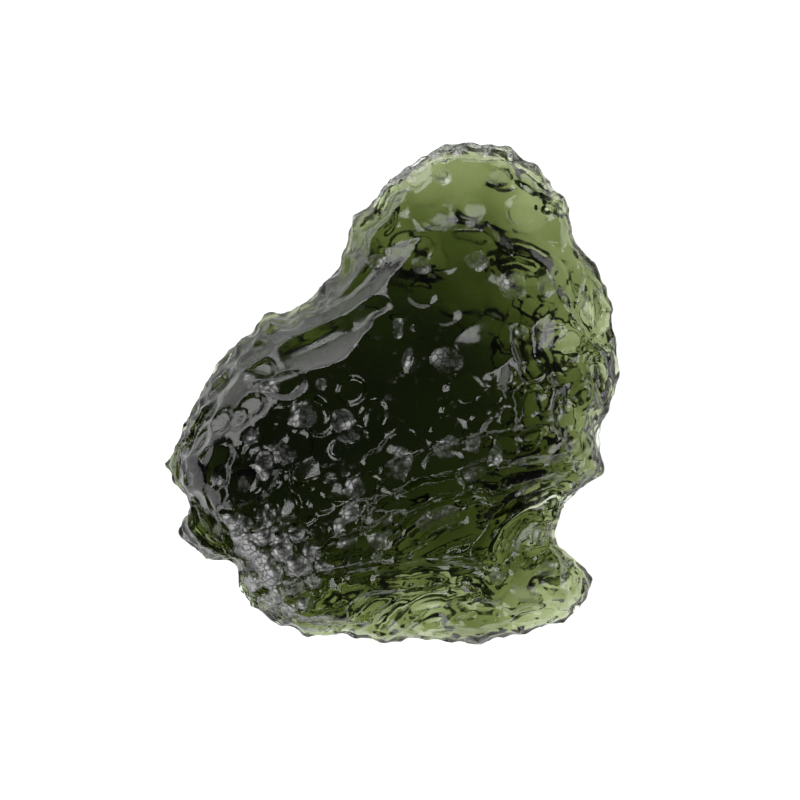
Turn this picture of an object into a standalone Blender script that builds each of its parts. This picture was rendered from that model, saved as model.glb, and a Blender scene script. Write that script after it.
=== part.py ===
"""A moldavite: one natural piece of green glass, etched all over, lying on its flattest side.

The stone is seen here from straight above, as a collector photographs it: X is its width, Y its
length and Z its thickness. The origin is on the table, under the middle of the bounding box.
Lists below are in millimetres, and the mesh is made in metres.
"""

import math
import random

import bpy
import numpy as np

MM = 0.001

# Driving dimensions
STONE_LENGTH = 30.0  # along Y
STONE_THICKNESS = 10.6  # from the table to the top of the belly, along Z

# The outline seen from above, clockwise from the left of the crown: x, y of each corner, and how
# far the edge bulges between it and the next one. A minus is an edge that curves in.
CROWN = [(1.5, 14.0, -0.06), (2.7, 14.8, 0.0), (4.0, 15.0, 0.06), (7.4, 14.8, 0.0)]
RIGHT_SHOULDER = [(8.2, 14.0, 0.09), (9.4, 13.3, -0.06), (10.4, 11.8, 0.12), (11.0, 11.1, -0.15)]
RIGHT_RIM = [
    (11.4, 8.5, 0.12),
    (12.6, 7.4, 0.0),
    (13.7, 5.0, -0.15),
    (13.7, 3.1, 0.06),
    (13.9, 0.9, 0.12),
    (13.0, -1.5, 0.06),
    (12.6, -2.7, 0.0),
]
KNOB = [(12.9, -4.4, 0.06), (13.0, -5.2, 0.0)]
WAIST = [(11.9, -5.9, -0.55), (10.1, -8.8, -0.2)]
FOOT = [(11.1, -9.8, 0.06), (12.4, -11.3, 0.06), (11.6, -13.6, 0.18), (8.5, -14.8, 0.0)]
FOOT_EDGE = [(6.7, -15.1, 0.0), (5.6, -15.6, 0.0), (2.9, -15.3, -0.2), (0.0, -15.4, 0.0)]
LOWER_LEFT = [
    (-3.2, -14.8, 0.0),
    (-4.6, -15.0, 0.06),
    (-5.7, -14.7, 0.0),
    (-7.0, -14.1, 0.0),
    (-8.4, -13.0, 0.24),
    (-9.3, -10.6, 0.0),
]
LEDGE = [(-9.9, -10.4, 0.06), (-11.0, -10.4, 0.0), (-12.8, -8.8, 0.12), (-12.3, -7.5, 0.0)]
LEFT_POINT = [(-12.1, -6.8, 0.0), (-13.0, -5.9, 0.0), (-13.2, -5.2, 0.0), (-13.7, -4.6, -0.06)]
LEFT_RIM = [
    (-12.4, -2.1, 0.0),
    (-11.3, 0.2, 0.06),
    (-9.1, 3.1, 0.0),
    (-8.2, 3.6, 0.0),
    (-7.7, 4.6, 0.06),
]
UPPER_LEFT_BAY = [(-6.3, 4.6, -0.24), (-3.4, 7.1, 0.06), (-2.7, 9.0, -0.06)]
LEFT_SHOULDER = [(-2.6, 10.5, 0.0), (-1.4, 11.2, -0.06), (-0.2, 12.7, 0.0)]
OUTLINE = (
    CROWN
    + RIGHT_SHOULDER
    + RIGHT_RIM
    + KNOB
    + WAIST
    + FOOT
    + FOOT_EDGE
    + LOWER_LEFT
    + LEDGE
    + LEFT_POINT
    + LEFT_RIM
    + UPPER_LEFT_BAY
    + LEFT_SHOULDER
)
HEART = (-0.8, -2.8)  # every corner of the outline can be seen from here
STEPS_PER_EDGE = 8
SOFT_OUTLINE_DEG = 14  # the middle of the stone follows the outline smoothed over this angle

# The body under the sculpture
FULLNESS = 3.0  # 2 is an ellipsoid, and more gives a flatter top and steeper sides
EDGE_ALLOWANCE = 0.3  # the blank is this much wider than the outline, and the chips take it off
RIM_HEIGHT = 3.9
RIM_WAVE = 0.7  # how far the widest line rises and falls on its way round
RIM_WAVE_START = 40  # degrees
TOP_HEIGHT = 6.3  # of the upper side, away from its swells
BOTTOM_HEIGHT = 1.8  # of the lower side, away from its swells
# x, y, half length, half width, turn in degrees, rise
TOP_SWELLS = [
    (-3.2, -2.2, 8.2, 5.6, 35, 4.6),
    (4.0, 6.5, 5.0, 4.0, 70, 1.3),
    (8.4, -2.5, 4.5, 2.6, 10, 1.5),
    (-11.0, -4.5, 5.0, 3.6, 55, 3.0),
    (-7.5, -11.0, 4.4, 3.2, -40, 3.0),
    (8.6, -11.6, 3.2, 2.2, 0, 1.1),
]
BOTTOM_SWELLS = [
    (-1.2, -2.2, 9.0, 8.0, 20, -2.8),
    (-10.5, -5.5, 4.0, 3.0, 50, -0.8),
    (-7.5, -11.0, 3.5, 2.5, -40, -0.8),
]

# Hollows etched one by one into the upper side: x, y, radius, depth, stretch, turn in degrees.
# Neighbours meet in sharp crests.
TOP_HOLLOWS = [
    # the scalloped edge of the crown
    (1.6, 14.0, 1.0, 0.5, 1.2, 30),
    (3.2, 14.5, 0.9, 0.5, 1.2, 0),
    (5.0, 14.6, 1.0, 0.5, 1.2, 0),
    (6.8, 14.3, 0.9, 0.5, 1.2, -10),
    (8.5, 13.1, 0.9, 0.5, 1.6, -45),
    # the broad smooth hollows of the upper lobe
    (3.8, 11.6, 3.1, 0.7, 1.05, 20),
    (3.5, 6.7, 3.5, 1.1, 1.1, 60),
    (7.9, 10.6, 2.4, 0.9, 1.2, -40),
    (7.4, 5.9, 2.3, 1.0, 1.3, -10),
    (5.8, 3.0, 1.7, 0.6, 1.3, 10),
    (0.4, 8.7, 1.7, 0.7, 1.3, 70),
    # the chips at its upper left
    (-0.1, 11.6, 0.9, 0.8, 2.1, 72),
    (-1.6, 10.0, 0.9, 0.6, 1.4, 40),
    (-2.3, 10.6, 0.6, 0.4, 1.2, 0),
    # the right side
    (12.1, 4.8, 1.0, 0.9, 2.2, 95),
    (10.2, 2.6, 2.2, 1.0, 1.2, 60),
    (12.6, 1.0, 0.9, 0.6, 1.6, 90),
    (10.9, -1.2, 1.3, 0.8, 1.5, 80),
    (8.0, 0.6, 1.4, 0.6, 1.4, 70),
    # the shelf below the bay, and the flat chips to its left
    (-4.4, 2.7, 1.7, 1.3, 2.1, 28),
    (-8.3, 2.1, 1.3, 0.8, 1.3, 35),
    (-10.3, 0.4, 1.1, 0.8, 1.4, 55),
    (-11.6, -2.4, 1.1, 0.8, 1.9, 62),
    # the smooth belly
    (-0.2, 2.2, 2.3, 0.8, 1.2, 60),
    (-3.0, -0.7, 2.3, 0.8, 1.3, 30),
    (1.6, -1.2, 2.2, 0.7, 1.4, 10),
    (-5.5, -6.3, 2.4, 1.0, 1.3, 10),
    (-1.6, -4.4, 1.6, 0.5, 1.5, 10),
    # the ledge low down at the lower left
    (-11.2, -8.4, 1.8, 2.0, 1.3, -35),
    # the foot and the wall of the waist above it
    (8.6, -9.0, 1.3, 0.9, 1.2, 60),
    (8.3, -11.7, 1.8, 0.7, 1.5, -5),
    (6.3, -11.6, 0.8, 0.5, 1.3, 60),
    (11.0, -11.3, 0.9, 0.6, 1.4, 70),
    (8.8, -13.4, 0.9, 0.5, 2.2, 14),
]

# Grooves etched along a line: the line, how far the groove reaches to the left and to the right
# of it, and its depth. One with a short reach on one side has a steep wall there.
TOP_GROOVES = [
    # the two long flutes that follow the bay
    ([(-2.6, 10.2), (-2.2, 8.2), (-3.4, 5.9), (-6.5, 4.5)], 0.9, 0.7, 0.8),
    ([(-0.9, 7.4), (-2.3, 5.8), (-3.9, 4.7), (-7.0, 3.7)], 1.1, 0.5, 0.7),
    # the ridge below the shelf, and the crease that runs down the belly from it
    ([(-9.6, 1.6), (-7.2, 0.9), (-4.0, 2.0), (-1.4, 4.0)], 1.8, 0.4, 0.7),
    ([(-4.2, 0.6), (-5.6, -0.6), (-6.1, -2.4)], 0.4, 1.0, 0.4),
    # the channel inside the right rim, and the edge of the hollow beside it
    ([(8.6, 9.4), (10.4, 8.2), (11.0, 6.4)], 0.5, 1.1, 0.7),
    ([(10.6, 8.0), (11.2, 5.0), (12.6, 3.0)], 1.0, 0.4, 0.6),
    ([(7.6, 2.8), (8.4, 0.6), (7.9, -1.2)], 1.5, 0.4, 0.7),
    # the lines of flow across the middle right
    ([(-2.0, -5.0), (1.5, -4.2), (5.5, -3.0), (9.0, -2.6)], 0.5, 1.2, 0.5),
    ([(-1.0, -7.2), (2.0, -5.8), (6.0, -4.8)], 0.5, 1.3, 0.6),
    ([(6.6, -4.9), (8.8, -4.6), (11.4, -4.2)], 0.5, 1.1, 0.6),
    ([(0.2, -9.1), (1.9, -7.9), (3.5, -6.9), (5.4, -6.8)], 0.9, 1.6, 1.3),
    ([(5.8, -6.9), (8.4, -6.0), (10.2, -5.3)], 0.5, 1.4, 0.8),
    ([(-3.6, -9.4), (-1.6, -8.9), (0.4, -7.4)], 0.5, 1.2, 0.7),
    ([(6.2, -9.8), (6.9, -8.4), (8.0, -7.4), (9.6, -6.9)], 1.3, 1.0, 1.5),
    ([(1.6, -9.9), (3.4, -8.7), (5.4, -8.0)], 0.5, 1.4, 0.8),
    # the long grooves of the lower edge
    ([(-5.2, -11.6), (-1.0, -10.9), (2.0, -10.6), (5.4, -10.8)], 0.5, 1.6, 0.8),
    ([(-2.0, -13.4), (-1.1, -12.6), (0.6, -12.5)], 0.6, 0.9, 0.8),
    ([(-0.4, -13.9), (0.6, -13.0), (2.2, -12.4), (4.4, -12.2)], 0.8, 1.4, 1.1),
    ([(2.6, -13.6), (4.4, -13.0), (6.6, -13.2)], 0.5, 1.1, 0.5),
]

# Hollows of the underside
BOTTOM_HOLLOWS = [
    (3.5, 11.0, 3.0, 0.3, 1.2, 10),
    (7.8, 8.2, 2.6, 1.0, 1.1, -40),
    (1.2, 7.6, 2.6, 0.9, 1.2, 50),
    (9.6, 3.4, 2.8, 1.1, 1.2, 80),
    (5.0, 4.0, 2.4, 0.8, 1.2, 0),
    (9.8, -2.0, 2.4, 1.0, 1.3, 10),
    (-4.6, 3.6, 2.4, 0.9, 1.5, 35),
    (-9.4, 0.6, 2.4, 0.9, 1.4, 50),
    (-10.4, -5.0, 2.2, 0.9, 1.2, 10),
    (-7.6, -10.4, 2.2, 0.9, 1.3, -40),
    (-3.2, -12.6, 2.2, 0.9, 1.5, 5),
    (2.2, -12.4, 2.3, 1.0, 1.5, 0),
    (7.8, -11.8, 2.4, 1.0, 1.4, -15),
    (8.2, -6.6, 1.8, 0.8, 1.6, 20),
]

# Fields of pits: seed, side, centre x and y, half length, half width, turn, how many, least and
# greatest pit radius, depth over radius, stretch, turn of the pits
PIT_FIELDS = [
    (3, "top", -8.8, -3.4, 4.6, 4.0, 60, 26, 0.7, 1.25, 0.42, 1.15, 40),
    (5, "top", -6.6, -10.2, 4.0, 3.2, -40, 34, 0.6, 1.1, 0.5, 1.1, 20),
    (7, "top", 0.6, -5.6, 5.6, 2.8, 16, 20, 0.6, 1.0, 0.4, 1.5, 16),
    (9, "top", 7.3, -1.2, 4.2, 2.2, 10, 16, 0.6, 1.0, 0.42, 1.4, 12),
    (11, "top", -1.6, 0.0, 5.5, 3.4, 40, 5, 0.6, 0.9, 0.36, 1.15, 30),
    (13, "top", 5.0, 8.4, 4.5, 5.0, 0, 6, 0.6, 1.0, 0.2, 1.1, 0),
    (15, "top", 11.6, 0.6, 1.6, 4.4, 0, 14, 0.5, 0.9, 0.45, 1.2, 90),
    (17, "top", 2.0, -12.3, 7.0, 1.8, 5, 8, 0.5, 0.9, 0.3, 1.8, 10),
    (19, "top", 8.5, -11.5, 2.8, 2.0, 0, 8, 0.5, 0.8, 0.3, 1.2, 0),
    (21, "bottom", -4.0, -9.5, 5.5, 5.0, 12, 26, 1.0, 1.6, 0.5, 1.3, 15),
    (23, "bottom", 9.5, 0.5, 3.6, 7.0, 0, 24, 1.0, 1.7, 0.45, 1.2, 80),
    (25, "bottom", -6.0, -1.0, 7.0, 6.0, 40, 28, 1.0, 1.5, 0.45, 1.2, 40),
    (27, "bottom", 4.0, 8.5, 4.6, 5.0, 0, 16, 1.2, 2.0, 0.2, 1.2, 0),
]

# Chips along the rim, in rows: seed, height over the rim, step, radii, depth over radius, stretch
RIM_CHIPS = [
    (41, 0.9, 1.4, 0.8, 1.2, 0.42, 1.2),
    (43, -0.9, 1.6, 0.8, 1.3, 0.42, 1.2),
    (45, 0.0, 1.2, 0.5, 0.8, 0.3, 1.2),
    (47, 2.2, 1.5, 0.8, 1.2, 0.42, 1.1),
    (49, 3.4, 1.6, 0.7, 1.2, 0.42, 1.1),
]

BLANK_NET = 0.2  # size of the even net that the hollows are cut into
SOLID_NET = 0.15  # size of the net that makes one clean skin of the cut stone
NET_SMOOTHING = 2
GRAZING = 0.6  # a cut fades out where the surface turns this far away from it
SEAT_RADIUS = 0.6  # a hollow faces the way that the surface does within this distance
CHIP_REACH = 0.9  # a chip is left out where the wall is further from it than this
CHIP_SPAN = 1.6  # a chip ends this many radii from its middle, whatever lies beyond
PIT_SPACING = 0.62  # least distance between two pits, over the sum of their radii
TRIES_PER_PIT = 30
PIT_WALL = 2.0  # how steep a pit's wall is, where 1 is a plain bowl
MOST_TIP = 0.9  # how far a pit's floor may tip, as a share of its depth
MOST_TRIANGLES = 9600
CUTTER_SIZE = 60.0

GLASS_COLOUR = (0.10, 0.14, 0.06, 1.0)
GLASS_ROUGHNESS = 0.12
GLASS_IOR = 1.49


def clear_scene():
    for obj in list(bpy.data.objects):
        bpy.data.objects.remove(obj)


def collection(name):
    made = bpy.data.collections.new(name)
    bpy.context.scene.collection.children.link(made)
    return made


def outline_points():
    """The outline as closely spaced points, each edge bowed by its bulge."""
    corners = np.array(OUTLINE)
    points = []
    for here, after in zip(corners, np.roll(corners, -1, axis=0)):
        chord = after[:2] - here[:2]
        outwards = np.array((-chord[1], chord[0])) / np.hypot(*chord)
        for step in np.arange(STEPS_PER_EDGE) / STEPS_PER_EDGE:
            bow = here[2] * 4 * step * (1 - step)
            points.append(here[:2] + chord * step + outwards * bow)
    return np.array(points)


def outline_reach():
    """How far the outline is from the heart at any angle, as drawn and as smoothed."""
    away = outline_points() - HEART
    angle = np.degrees(np.arctan2(away[:, 1], away[:, 0]))
    order = np.argsort(angle)
    angle, reach = angle[order], np.hypot(*away.T)[order] + EDGE_ALLOWANCE
    whole_turn = np.arange(-180, 180)
    even = np.interp(whole_turn, angle, reach, period=360)
    side = 3 * SOFT_OUTLINE_DEG
    spread = np.exp(-0.5 * (np.arange(-side, side + 1) / SOFT_OUTLINE_DEG) ** 2)
    padded = np.concatenate([even[-side:], even, even[:side]])
    soft = np.convolve(padded, spread / spread.sum(), mode="valid")

    def sharp_at(degrees):
        return np.interp(degrees, angle, reach, period=360)

    def soft_at(degrees):
        return np.interp(degrees, whole_turn, soft, period=360)

    return sharp_at, soft_at


def swell(x, y, mound):
    """The rise of one rounded mound at x, y."""
    cx, cy, half_length, half_width, turn, rise = mound
    c, s = math.cos(math.radians(turn)), math.sin(math.radians(turn))
    along = ((x - cx) * c + (y - cy) * s) / half_length
    across = ((y - cy) * c - (x - cx) * s) / half_width
    return rise * np.exp(-0.5 * (along**2 + across**2))


def rim_height(degrees):
    return RIM_HEIGHT + RIM_WAVE * np.sin(np.radians(2 * degrees + RIM_WAVE_START))


def body_point(direction):
    """Where each unit direction from the heart meets the smooth body."""
    x, y, z = direction.T
    degrees = np.degrees(np.arctan2(y, x))
    share = np.hypot(x, y).clip(0, 1) ** (2 / FULLNESS)
    sharp_at, soft_at = outline_reach()
    soft, sharp = soft_at(degrees), sharp_at(degrees)
    reach = (soft + (sharp - soft) * share**3) * share
    px = HEART[0] + reach * np.cos(np.radians(degrees))
    py = HEART[1] + reach * np.sin(np.radians(degrees))
    rim = rim_height(degrees)
    over = TOP_HEIGHT + sum(swell(px, py, mound) for mound in TOP_SWELLS)
    under = BOTTOM_HEIGHT + sum(swell(px, py, mound) for mound in BOTTOM_SWELLS)
    lift = np.abs(z) ** (2 / FULLNESS)
    return np.column_stack([px, py, rim + (np.where(z > 0, over, under) - rim) * lift])


def points_of(mesh):
    flat = np.empty(len(mesh.vertices) * 3)
    mesh.vertices.foreach_get("co", flat)
    return flat.reshape(-1, 3) / MM


def move_points(mesh, points):
    mesh.vertices.foreach_set("co", (points * MM).ravel())
    mesh.update()


def normals_of(mesh):
    flat = np.empty(len(mesh.vertices) * 3)
    mesh.vertex_normals.foreach_get("vector", flat)
    return flat.reshape(-1, 3)


def apply_modifiers(obj):
    """Gives the object the mesh that its modifiers make of it."""
    graph = bpy.context.evaluated_depsgraph_get()
    made = bpy.data.meshes.new_from_object(obj.evaluated_get(graph))
    obj.modifiers.clear()
    obj.data = made


def add_net(obj, size):
    net = obj.modifiers.new("even_net", "REMESH")
    net.mode = "VOXEL"
    net.voxel_size = size * MM


def make_blank():
    """The stone before it was etched: a ball pushed out to the body, on an even net."""
    bpy.ops.mesh.primitive_ico_sphere_add(subdivisions=7, radius=1)
    blank = bpy.context.object
    ball = points_of(blank.data) * MM
    move_points(blank.data, body_point(ball / np.linalg.norm(ball, axis=1)[:, None]))
    add_net(blank, BLANK_NET)
    soften = blank.modifiers.new("soften", "SMOOTH")
    soften.iterations = NET_SMOOTHING
    apply_modifiers(blank)
    return blank


def bowl(points, normals, centre, facing, radius, depth, stretch, turn, tip=None):
    """How deep a bowl cuts at each point. With a tip it is a pit with steep walls and a level
    floor, tipped along and across by that share of its depth."""
    heading = np.array((math.cos(math.radians(turn)), math.sin(math.radians(turn)), 0.0))
    along_axis = heading - facing * heading.dot(facing)
    along_axis /= np.linalg.norm(along_axis)
    across_axis = np.cross(facing, along_axis)
    away = points - centre
    along = away @ along_axis / (radius * stretch)
    across = away @ across_axis / radius
    fade = (normals @ facing / GRAZING).clip(0, 1)
    hollow = 1 - along**2 - across**2
    if tip:
        hollow = np.minimum(PIT_WALL * hollow, 1 + tip[0] * along + tip[1] * across)
    return depth * hollow * fade


def groove(points, normals, line, left, right, depth):
    """How deep a groove along a line cuts at each point of the upper side."""
    nearest = np.full(len(points), np.inf)
    reach = np.ones(len(points))
    for start, end in zip(line, line[1:]):
        start = np.array(start)
        run = np.array(end) - start
        share = ((points[:, :2] - start) @ run / run.dot(run)).clip(0, 1)
        gap = points[:, :2] - start - share[:, None] * run
        away = np.hypot(*gap.T)
        nearer = away < nearest
        nearest[nearer] = away[nearer]
        on_left = run[0] * gap[:, 1] > run[1] * gap[:, 0]
        reach[nearer] = np.where(on_left, left, right)[nearer]
    fade = (normals[:, 2] / GRAZING).clip(0, 1)
    return depth * (1 - (nearest / reach) ** 2) * fade


def seat(points, normals, x, y, side):
    """The point of the upper or lower side at x, y, and the way it faces there."""
    upright = normals[:, 2] if side == "top" else -normals[:, 2]
    gap = np.hypot(points[:, 0] - x, points[:, 1] - y) + np.where(upright > 0.1, 0, STONE_LENGTH)
    nearest = np.argmin(gap)
    around = np.linalg.norm(points - points[nearest], axis=1) < SEAT_RADIUS
    facing = normals[around].mean(axis=0)
    return points[nearest], facing / np.linalg.norm(facing)


def etch(mesh, side, hollows, grooves=()):
    """Cuts a group of hollows at once. Where two overlap the deeper one wins: that is a crest."""
    points, normals = points_of(mesh), normals_of(mesh)
    cut = np.zeros(len(points))
    for x, y, *shape in hollows:
        cut = np.maximum(cut, bowl(points, normals, *seat(points, normals, x, y, side), *shape))
    for shape in grooves:
        cut = np.maximum(cut, groove(points, normals, *shape))
    points[:, 2] += -cut if side == "top" else cut
    move_points(mesh, points)


def scattered(seed, cx, cy, half_length, half_width, turn, count, least, most, deep, stretch, lean):
    """The pits of one field, set down at random but never crowded."""
    chance = random.Random(seed)
    c, s = math.cos(math.radians(turn)), math.sin(math.radians(turn))
    pits = []
    for _ in range(count * TRIES_PER_PIT):
        u, v = chance.uniform(-1, 1), chance.uniform(-1, 1)
        radius = chance.uniform(least, most)
        swing = chance.uniform(-20, 20)
        x = cx + u * half_length * c - v * half_width * s
        y = cy + u * half_length * s + v * half_width * c
        clear = all(math.hypot(x - p[0], y - p[1]) > PIT_SPACING * (radius + p[2]) for p in pits)
        if u * u + v * v < 1 and clear and len(pits) < count:
            tip = (chance.uniform(-MOST_TIP, MOST_TIP), chance.uniform(-MOST_TIP, MOST_TIP))
            pits.append((x, y, radius, radius * deep, stretch, lean + swing, tip))
    return pits


def all_pits(fields, wanted):
    """The pits of every field on one side."""
    pits = []
    for seed, side, *field in fields:
        if side == wanted:
            pits += scattered(seed, *field)
    return pits


def chip_row(points, normals, seed, height, step, least, most, deep, stretch):
    """How deep one row of chips cuts, all the way round. It skips where there is no wall."""
    chance = random.Random(seed)
    edge = outline_points()
    run = np.cumsum(np.hypot(*(np.roll(edge, -1, axis=0) - edge).T))
    cut = np.zeros(len(points))
    at = 0.0
    while at < run[-1]:
        x, y = edge[np.searchsorted(run, at)]
        at += step * chance.uniform(0.7, 1.3)
        radius = chance.uniform(least, most)
        swing = chance.uniform(-15, 15)
        rim = rim_height(math.degrees(math.atan2(y - HEART[1], x - HEART[0])))
        gap = np.linalg.norm(points - (x, y, rim + height), axis=1)
        nearest = np.argmin(gap)
        if gap[nearest] > CHIP_REACH:
            continue
        facing = normals[nearest]
        turn = math.degrees(math.atan2(facing[0], -facing[1])) + swing
        centre = points[nearest]
        chip = bowl(points, normals, centre, facing, radius, radius * deep, stretch, turn)
        chip[np.linalg.norm(points - centre, axis=1) > CHIP_SPAN * radius] = 0
        cut = np.maximum(cut, chip)
    return cut


def chip_rim(mesh, rows):
    """Cuts all the rows at once, so that nowhere more than one chip's depth comes off."""
    points, normals = points_of(mesh), normals_of(mesh)
    cut = np.max([chip_row(points, normals, *row) for row in rows], axis=0)
    move_points(mesh, points - normals * cut[:, None])


def settle(mesh):
    """Scales the stone to its real length and thickness, and stands it over the origin."""
    points = points_of(mesh)
    low, high = points.min(axis=0), points.max(axis=0)
    plan_scale = STONE_LENGTH / (high[1] - low[1])
    middle = (low + high) / 2
    points[:, :2] = (points[:, :2] - middle[:2]) * plan_scale
    points[:, 2] *= STONE_THICKNESS / high[2]
    move_points(mesh, points)


def table_cutter(cutters):
    """A block whose top is the table. It grinds the underside flat where the stone touches."""
    bpy.ops.mesh.primitive_cube_add(size=CUTTER_SIZE * MM)
    block = bpy.context.object
    block.name = "table_block"
    block.location.z = -CUTTER_SIZE / 2 * MM
    block.hide_render = True
    block.display_type = "WIRE"
    move_to(block, cutters)
    return block


def move_to(obj, wanted):
    for owner in list(obj.users_collection):
        owner.objects.unlink(obj)
    wanted.objects.link(obj)


def glass():
    material = bpy.data.materials.new("green_glass")
    material.use_nodes = True
    shader = material.node_tree.nodes["Principled BSDF"]
    shader.inputs["Base Color"].default_value = GLASS_COLOUR
    shader.inputs["Roughness"].default_value = GLASS_ROUGHNESS
    shader.inputs["IOR"].default_value = GLASS_IOR
    return material


def make_stone():
    stone = make_blank()
    mesh = stone.data
    etch(mesh, "top", TOP_HOLLOWS, TOP_GROOVES)
    etch(mesh, "bottom", BOTTOM_HOLLOWS)
    chip_rim(mesh, RIM_CHIPS)
    for side in ("top", "bottom"):
        etch(mesh, side, all_pits(PIT_FIELDS, side))
    add_net(stone, SOLID_NET)
    apply_modifiers(stone)
    settle(stone.data)
    return stone


clear_scene()
parts = collection("moldavite")
cutters = collection("cutters")
stone = make_stone()
stone.name = stone.data.name = "moldavite"
stone.data.materials.append(glass())
move_to(stone, parts)
fewer = stone.modifiers.new("fewer_faces", "DECIMATE")
fewer.ratio = MOST_TRIANGLES / (2 * len(stone.data.polygons))
fewer.use_collapse_triangulate = True
ground = stone.modifiers.new("ground_flat", "BOOLEAN")
ground.operation = "DIFFERENCE"
ground.object = table_cutter(cutters)
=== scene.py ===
# %% [markdown]
# # A raw moldavite on a light table
#
# Moldavite is a natural glass. It flew as molten drops, froze, and then lay in acid ground for
# millions of years, which ate pits, grooves and smooth hollows into it. This lesson models one
# such stone as one piece: first its body, then what the acid took away, coarse to fine, and then
# glass that is nearly black where it is thick and olive green where light gets through.
#
# All lists are in millimetres. X is the stone's width, Y its length and Z its thickness.

# %% Load the frame
import math
import random

import bpy
import numpy as np
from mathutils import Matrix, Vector
from mathutils.bvhtree import BVHTree


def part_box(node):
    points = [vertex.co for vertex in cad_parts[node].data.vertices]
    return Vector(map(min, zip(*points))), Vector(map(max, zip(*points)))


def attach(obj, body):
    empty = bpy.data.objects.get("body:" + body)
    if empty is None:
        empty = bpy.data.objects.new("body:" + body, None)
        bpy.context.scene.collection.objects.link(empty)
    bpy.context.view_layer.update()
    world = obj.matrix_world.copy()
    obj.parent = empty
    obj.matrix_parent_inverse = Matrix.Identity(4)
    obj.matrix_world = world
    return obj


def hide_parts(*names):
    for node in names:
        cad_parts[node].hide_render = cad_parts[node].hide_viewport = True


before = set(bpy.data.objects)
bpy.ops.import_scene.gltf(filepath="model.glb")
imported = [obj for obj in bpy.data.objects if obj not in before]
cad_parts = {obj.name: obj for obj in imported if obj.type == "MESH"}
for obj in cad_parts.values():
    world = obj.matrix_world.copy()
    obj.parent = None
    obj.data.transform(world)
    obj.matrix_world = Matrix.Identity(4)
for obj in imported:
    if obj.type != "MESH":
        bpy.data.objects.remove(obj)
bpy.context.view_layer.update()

MM = 0.001
stone_low, stone_high = (np.array(corner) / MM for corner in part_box("moldavite"))
print("the stone is", (stone_high - stone_low).round(1), "mm")

# %% [markdown]
# ## Pick up, place and select
#
# So these small helpers deselect first. The last three read a mesh's points and normals and write
# its points as one array, which is how the acid will work: on every point at once.

# %% Helpers for objects and points
def only(obj):
    bpy.ops.object.select_all(action="DESELECT")
    obj.select_set(True)
    bpy.context.view_layer.objects.active = obj


def apply_all(obj):
    only(obj)
    for modifier in list(obj.modifiers):
        bpy.ops.object.modifier_apply(modifier=modifier.name)


def points_of(mesh):
    flat = np.empty(len(mesh.vertices) * 3)
    mesh.vertices.foreach_get("co", flat)
    return flat.reshape(-1, 3) / MM


def normals_of(mesh):
    flat = np.empty(len(mesh.vertices) * 3)
    mesh.vertex_normals.foreach_get("vector", flat)
    return flat.reshape(-1, 3)


def move_points(mesh, points):
    mesh.vertices.foreach_set("co", (points * MM).ravel())
    mesh.update()


# %% [markdown]
# ## The outline
#
# Seen from above the stone is a lopsided lump: a rounded crown at the upper right, a long bay
# down the upper left, a point at the left, a low ledge below it, and a foot at the lower right
# with a deep waist over it. It could be a curve that is filled and extruded, but a stone has no
# wall of even height. So it is a list of corners, read clockwise, each with the bulge of the
# edge that follows. Every corner can be seen from one spot inside, the heart, and so the outline
# can be used as a reach in each direction.

# %% Outline corners
# The outline seen from above, clockwise from the left of the crown: x, y of each corner, and how
# far the edge bulges between it and the next one. A minus is an edge that curves in.
CROWN = [(1.5, 14.0, -0.06), (2.7, 14.8, 0.0), (4.0, 15.0, 0.06), (7.4, 14.8, 0.0)]
RIGHT_SHOULDER = [(8.2, 14.0, 0.09), (9.4, 13.3, -0.06), (10.4, 11.8, 0.12), (11.0, 11.1, -0.15)]
RIGHT_RIM = [
    (11.4, 8.5, 0.12),
    (12.6, 7.4, 0.0),
    (13.7, 5.0, -0.15),
    (13.7, 3.1, 0.06),
    (13.9, 0.9, 0.12),
    (13.0, -1.5, 0.06),
    (12.6, -2.7, 0.0),
]
KNOB = [(12.9, -4.4, 0.06), (13.0, -5.2, 0.0)]
WAIST = [(11.9, -5.9, -0.55), (10.1, -8.8, -0.2)]
FOOT = [(11.1, -9.8, 0.06), (12.4, -11.3, 0.06), (11.6, -13.6, 0.18), (8.5, -14.8, 0.0)]
FOOT_EDGE = [(6.7, -15.1, 0.0), (5.6, -15.6, 0.0), (2.9, -15.3, -0.2), (0.0, -15.4, 0.0)]
LOWER_LEFT = [
    (-3.2, -14.8, 0.0),
    (-4.6, -15.0, 0.06),
    (-5.7, -14.7, 0.0),
    (-7.0, -14.1, 0.0),
    (-8.4, -13.0, 0.24),
    (-9.3, -10.6, 0.0),
]
LEDGE = [(-9.9, -10.4, 0.06), (-11.0, -10.4, 0.0), (-12.8, -8.8, 0.12), (-12.3, -7.5, 0.0)]
LEFT_POINT = [(-12.1, -6.8, 0.0), (-13.0, -5.9, 0.0), (-13.2, -5.2, 0.0), (-13.7, -4.6, -0.06)]
LEFT_RIM = [
    (-12.4, -2.1, 0.0),
    (-11.3, 0.2, 0.06),
    (-9.1, 3.1, 0.0),
    (-8.2, 3.6, 0.0),
    (-7.7, 4.6, 0.06),
]
UPPER_LEFT_BAY = [(-6.3, 4.6, -0.24), (-3.4, 7.1, 0.06), (-2.7, 9.0, -0.06)]
LEFT_SHOULDER = [(-2.6, 10.5, 0.0), (-1.4, 11.2, -0.06), (-0.2, 12.7, 0.0)]
OUTLINE = (
    CROWN
    + RIGHT_SHOULDER
    + RIGHT_RIM
    + KNOB
    + WAIST
    + FOOT
    + FOOT_EDGE
    + LOWER_LEFT
    + LEDGE
    + LEFT_POINT
    + LEFT_RIM
    + UPPER_LEFT_BAY
    + LEFT_SHOULDER
)
HEART = (-0.8, -2.8)  # every corner can be seen from here
STEPS_PER_EDGE = 8

print(len(OUTLINE), "corners")


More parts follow.
